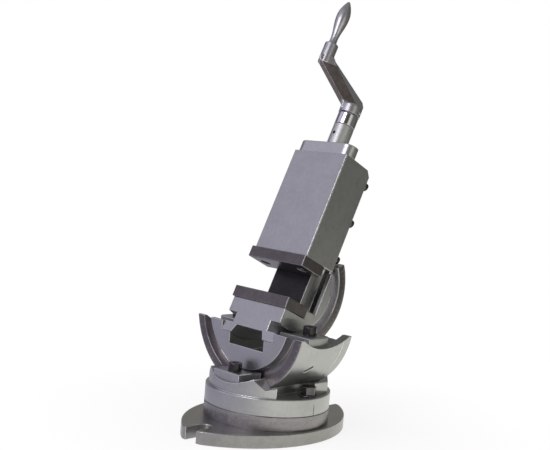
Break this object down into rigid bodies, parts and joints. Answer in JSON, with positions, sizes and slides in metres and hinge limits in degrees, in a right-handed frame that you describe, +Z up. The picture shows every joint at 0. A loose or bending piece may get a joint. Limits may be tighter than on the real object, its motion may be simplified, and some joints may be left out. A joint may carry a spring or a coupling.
{
  "type": "three-axis tilting machine vise",
  "caption": "Precision machine vise on a swivel base, with two nested curved tilting guides, a boxed sliding jaw and a crank handle.",
  "frame": {"origin": "swivel axis on the underside of the base", "axes": "+Z up along the swivel axis, +X along the width of the jaws at rest, +Y away from the fixed jaw; the lower tilt axis is parallel to Y and the upper tilt axis to X"},
  "size_m": [0.1476, 0.2019, 0.4325],
  "materials": {
    "satin_casting": "satin ground and plated casting",
    "ground_scale": "fine ground, darker",
    "jaw_steel": "hardened and ground, dark",
    "machined_steel": "turned steel",
    "bronze": "machined bronze",
    "chrome_collar": "polished chrome",
    "crank_metal": "satin forged steel",
    "black_screws": "black oxide"
  },
  "bodies": {
    "base": {"base_casting": "satin_casting", "degree_ring": "ground_scale", "pivot_pin": "machined_steel"},
    "turntable": {"turntable": "satin_casting", "lower_clamp_front": "satin_casting", "lower_clamp_rear": "satin_casting", "swivel_washer_right": "black_screws", "swivel_washer_left": "black_screws", "tee_nut_right": "machined_steel", "tee_nut_left": "machined_steel"},
    "swivel_bolt_right": {"swivel_bolt_right": "black_screws"},
    "swivel_bolt_left": {"swivel_bolt_left": "black_screws"},
    "lower_clamp_bolt_front": {"lower_clamp_bolt_front": "black_screws"},
    "lower_clamp_bolt_rear": {"lower_clamp_bolt_rear": "black_screws"},
    "cradle": {"cradle": "satin_casting", "upper_clamp_right": "satin_casting", "upper_clamp_left": "satin_casting"},
    "upper_clamp_bolt_right": {"upper_clamp_bolt_right": "black_screws"},
    "upper_clamp_bolt_left": {"upper_clamp_bolt_left": "black_screws"},
    "vise_body": {"vise_body": "satin_casting", "fixed_jaw_plate": "jaw_steel", "fixed_jaw_screw_right": "black_screws", "fixed_jaw_screw_left": "black_screws", "feed_nut": "bronze", "feed_nut_screw": "black_screws"},
    "moving_jaw": {"moving_jaw": "satin_casting", "moving_jaw_plate": "jaw_steel", "moving_jaw_screw_right": "black_screws", "moving_jaw_screw_left": "black_screws", "keeper_plate_right": "machined_steel", "keeper_plate_left": "machined_steel", "keeper_screw_right_1": "black_screws", "keeper_screw_right_2": "black_screws", "keeper_screw_right_3": "black_screws", "keeper_screw_left_1": "black_screws", "keeper_screw_left_2": "black_screws", "keeper_screw_left_3": "black_screws", "bearing_plate": "satin_casting", "end_screw_right": "black_screws", "end_screw_left": "black_screws", "screw_sleeve": "crank_metal"},
    "screw": {"lead_screw": "machined_steel", "thrust_ring": "machined_steel", "thrust_collar": "chrome_collar", "crank_arm": "crank_metal", "grip_pin": "machined_steel"},
    "grip": {"grip": "crank_metal"}
  },
  "joints": [
    {"name": "swivel", "type": "hinge", "parent": "base", "child": "turntable", "pos_m": [0, 0, 0], "axis": [0, 0, 1], "continuous": true},
    {"name": "cradle_tilt", "type": "hinge", "parent": "turntable", "child": "cradle", "pos_m": [0, 0, 0.1167], "axis": [0, 1, 0], "range_deg": [-45, 45]},
    {"name": "vise_tilt", "type": "hinge", "parent": "cradle", "child": "vise_body", "pos_m": [0, 0, 0.1431], "axis": [1, 0, 0], "range_deg": [-66, 24]},
    {"name": "jaw_slide", "type": "slide", "parent": "vise_body", "child": "moving_jaw", "axis": [0, 0.4067, 0.9135], "range_m": [-0.0312, 0.042]},
    {"name": "crank_spin", "type": "hinge", "parent": "moving_jaw", "child": "screw", "pos_m": [0, 0.07897, 0.30498], "axis": [0, 0.4067, 0.9135], "range_deg": [-2248, 3025]},
    {"name": "grip_spin", "type": "hinge", "parent": "screw", "child": "grip", "pos_m": [-0.03001, 0.08705, 0.39989], "axis": [0, 0.4067, 0.9135], "continuous": true},
    {"name": "swivel_bolt_right_turn", "type": "hinge", "parent": "turntable", "child": "swivel_bolt_right", "pos_m": [0.0513, 0.00404, 0.05], "axis": [0, 0, 1], "range_deg": [0, 180]},
    {"name": "swivel_bolt_left_turn", "type": "hinge", "parent": "turntable", "child": "swivel_bolt_left", "pos_m": [-0.0513, -0.00404, 0.05], "axis": [0, 0, 1], "range_deg": [0, 180]},
    {"name": "lower_bolt_front_turn", "type": "hinge", "parent": "turntable", "child": "lower_clamp_bolt_front", "pos_m": [0, -0.046, 0.06], "axis": [0, 0, 1], "range_deg": [0, 180]},
    {"name": "lower_bolt_rear_turn", "type": "hinge", "parent": "turntable", "child": "lower_clamp_bolt_rear", "pos_m": [0, 0.046, 0.06], "axis": [0, 0, 1], "range_deg": [0, 180]},
    {"name": "upper_bolt_right_turn", "type": "hinge", "parent": "cradle", "child": "upper_clamp_bolt_right", "pos_m": [0.05, 0, 0.1], "axis": [0, 0, 1], "range_deg": [0, 180]},
    {"name": "upper_bolt_left_turn", "type": "hinge", "parent": "cradle", "child": "upper_clamp_bolt_left", "pos_m": [-0.05, 0, 0.1], "axis": [0, 0, 1], "range_deg": [0, 180]}
  ],
  "couplings": [
    {"joint": "crank_spin", "follows": "jaw_slide", "rad_per_m": 1256.6}
  ]
}
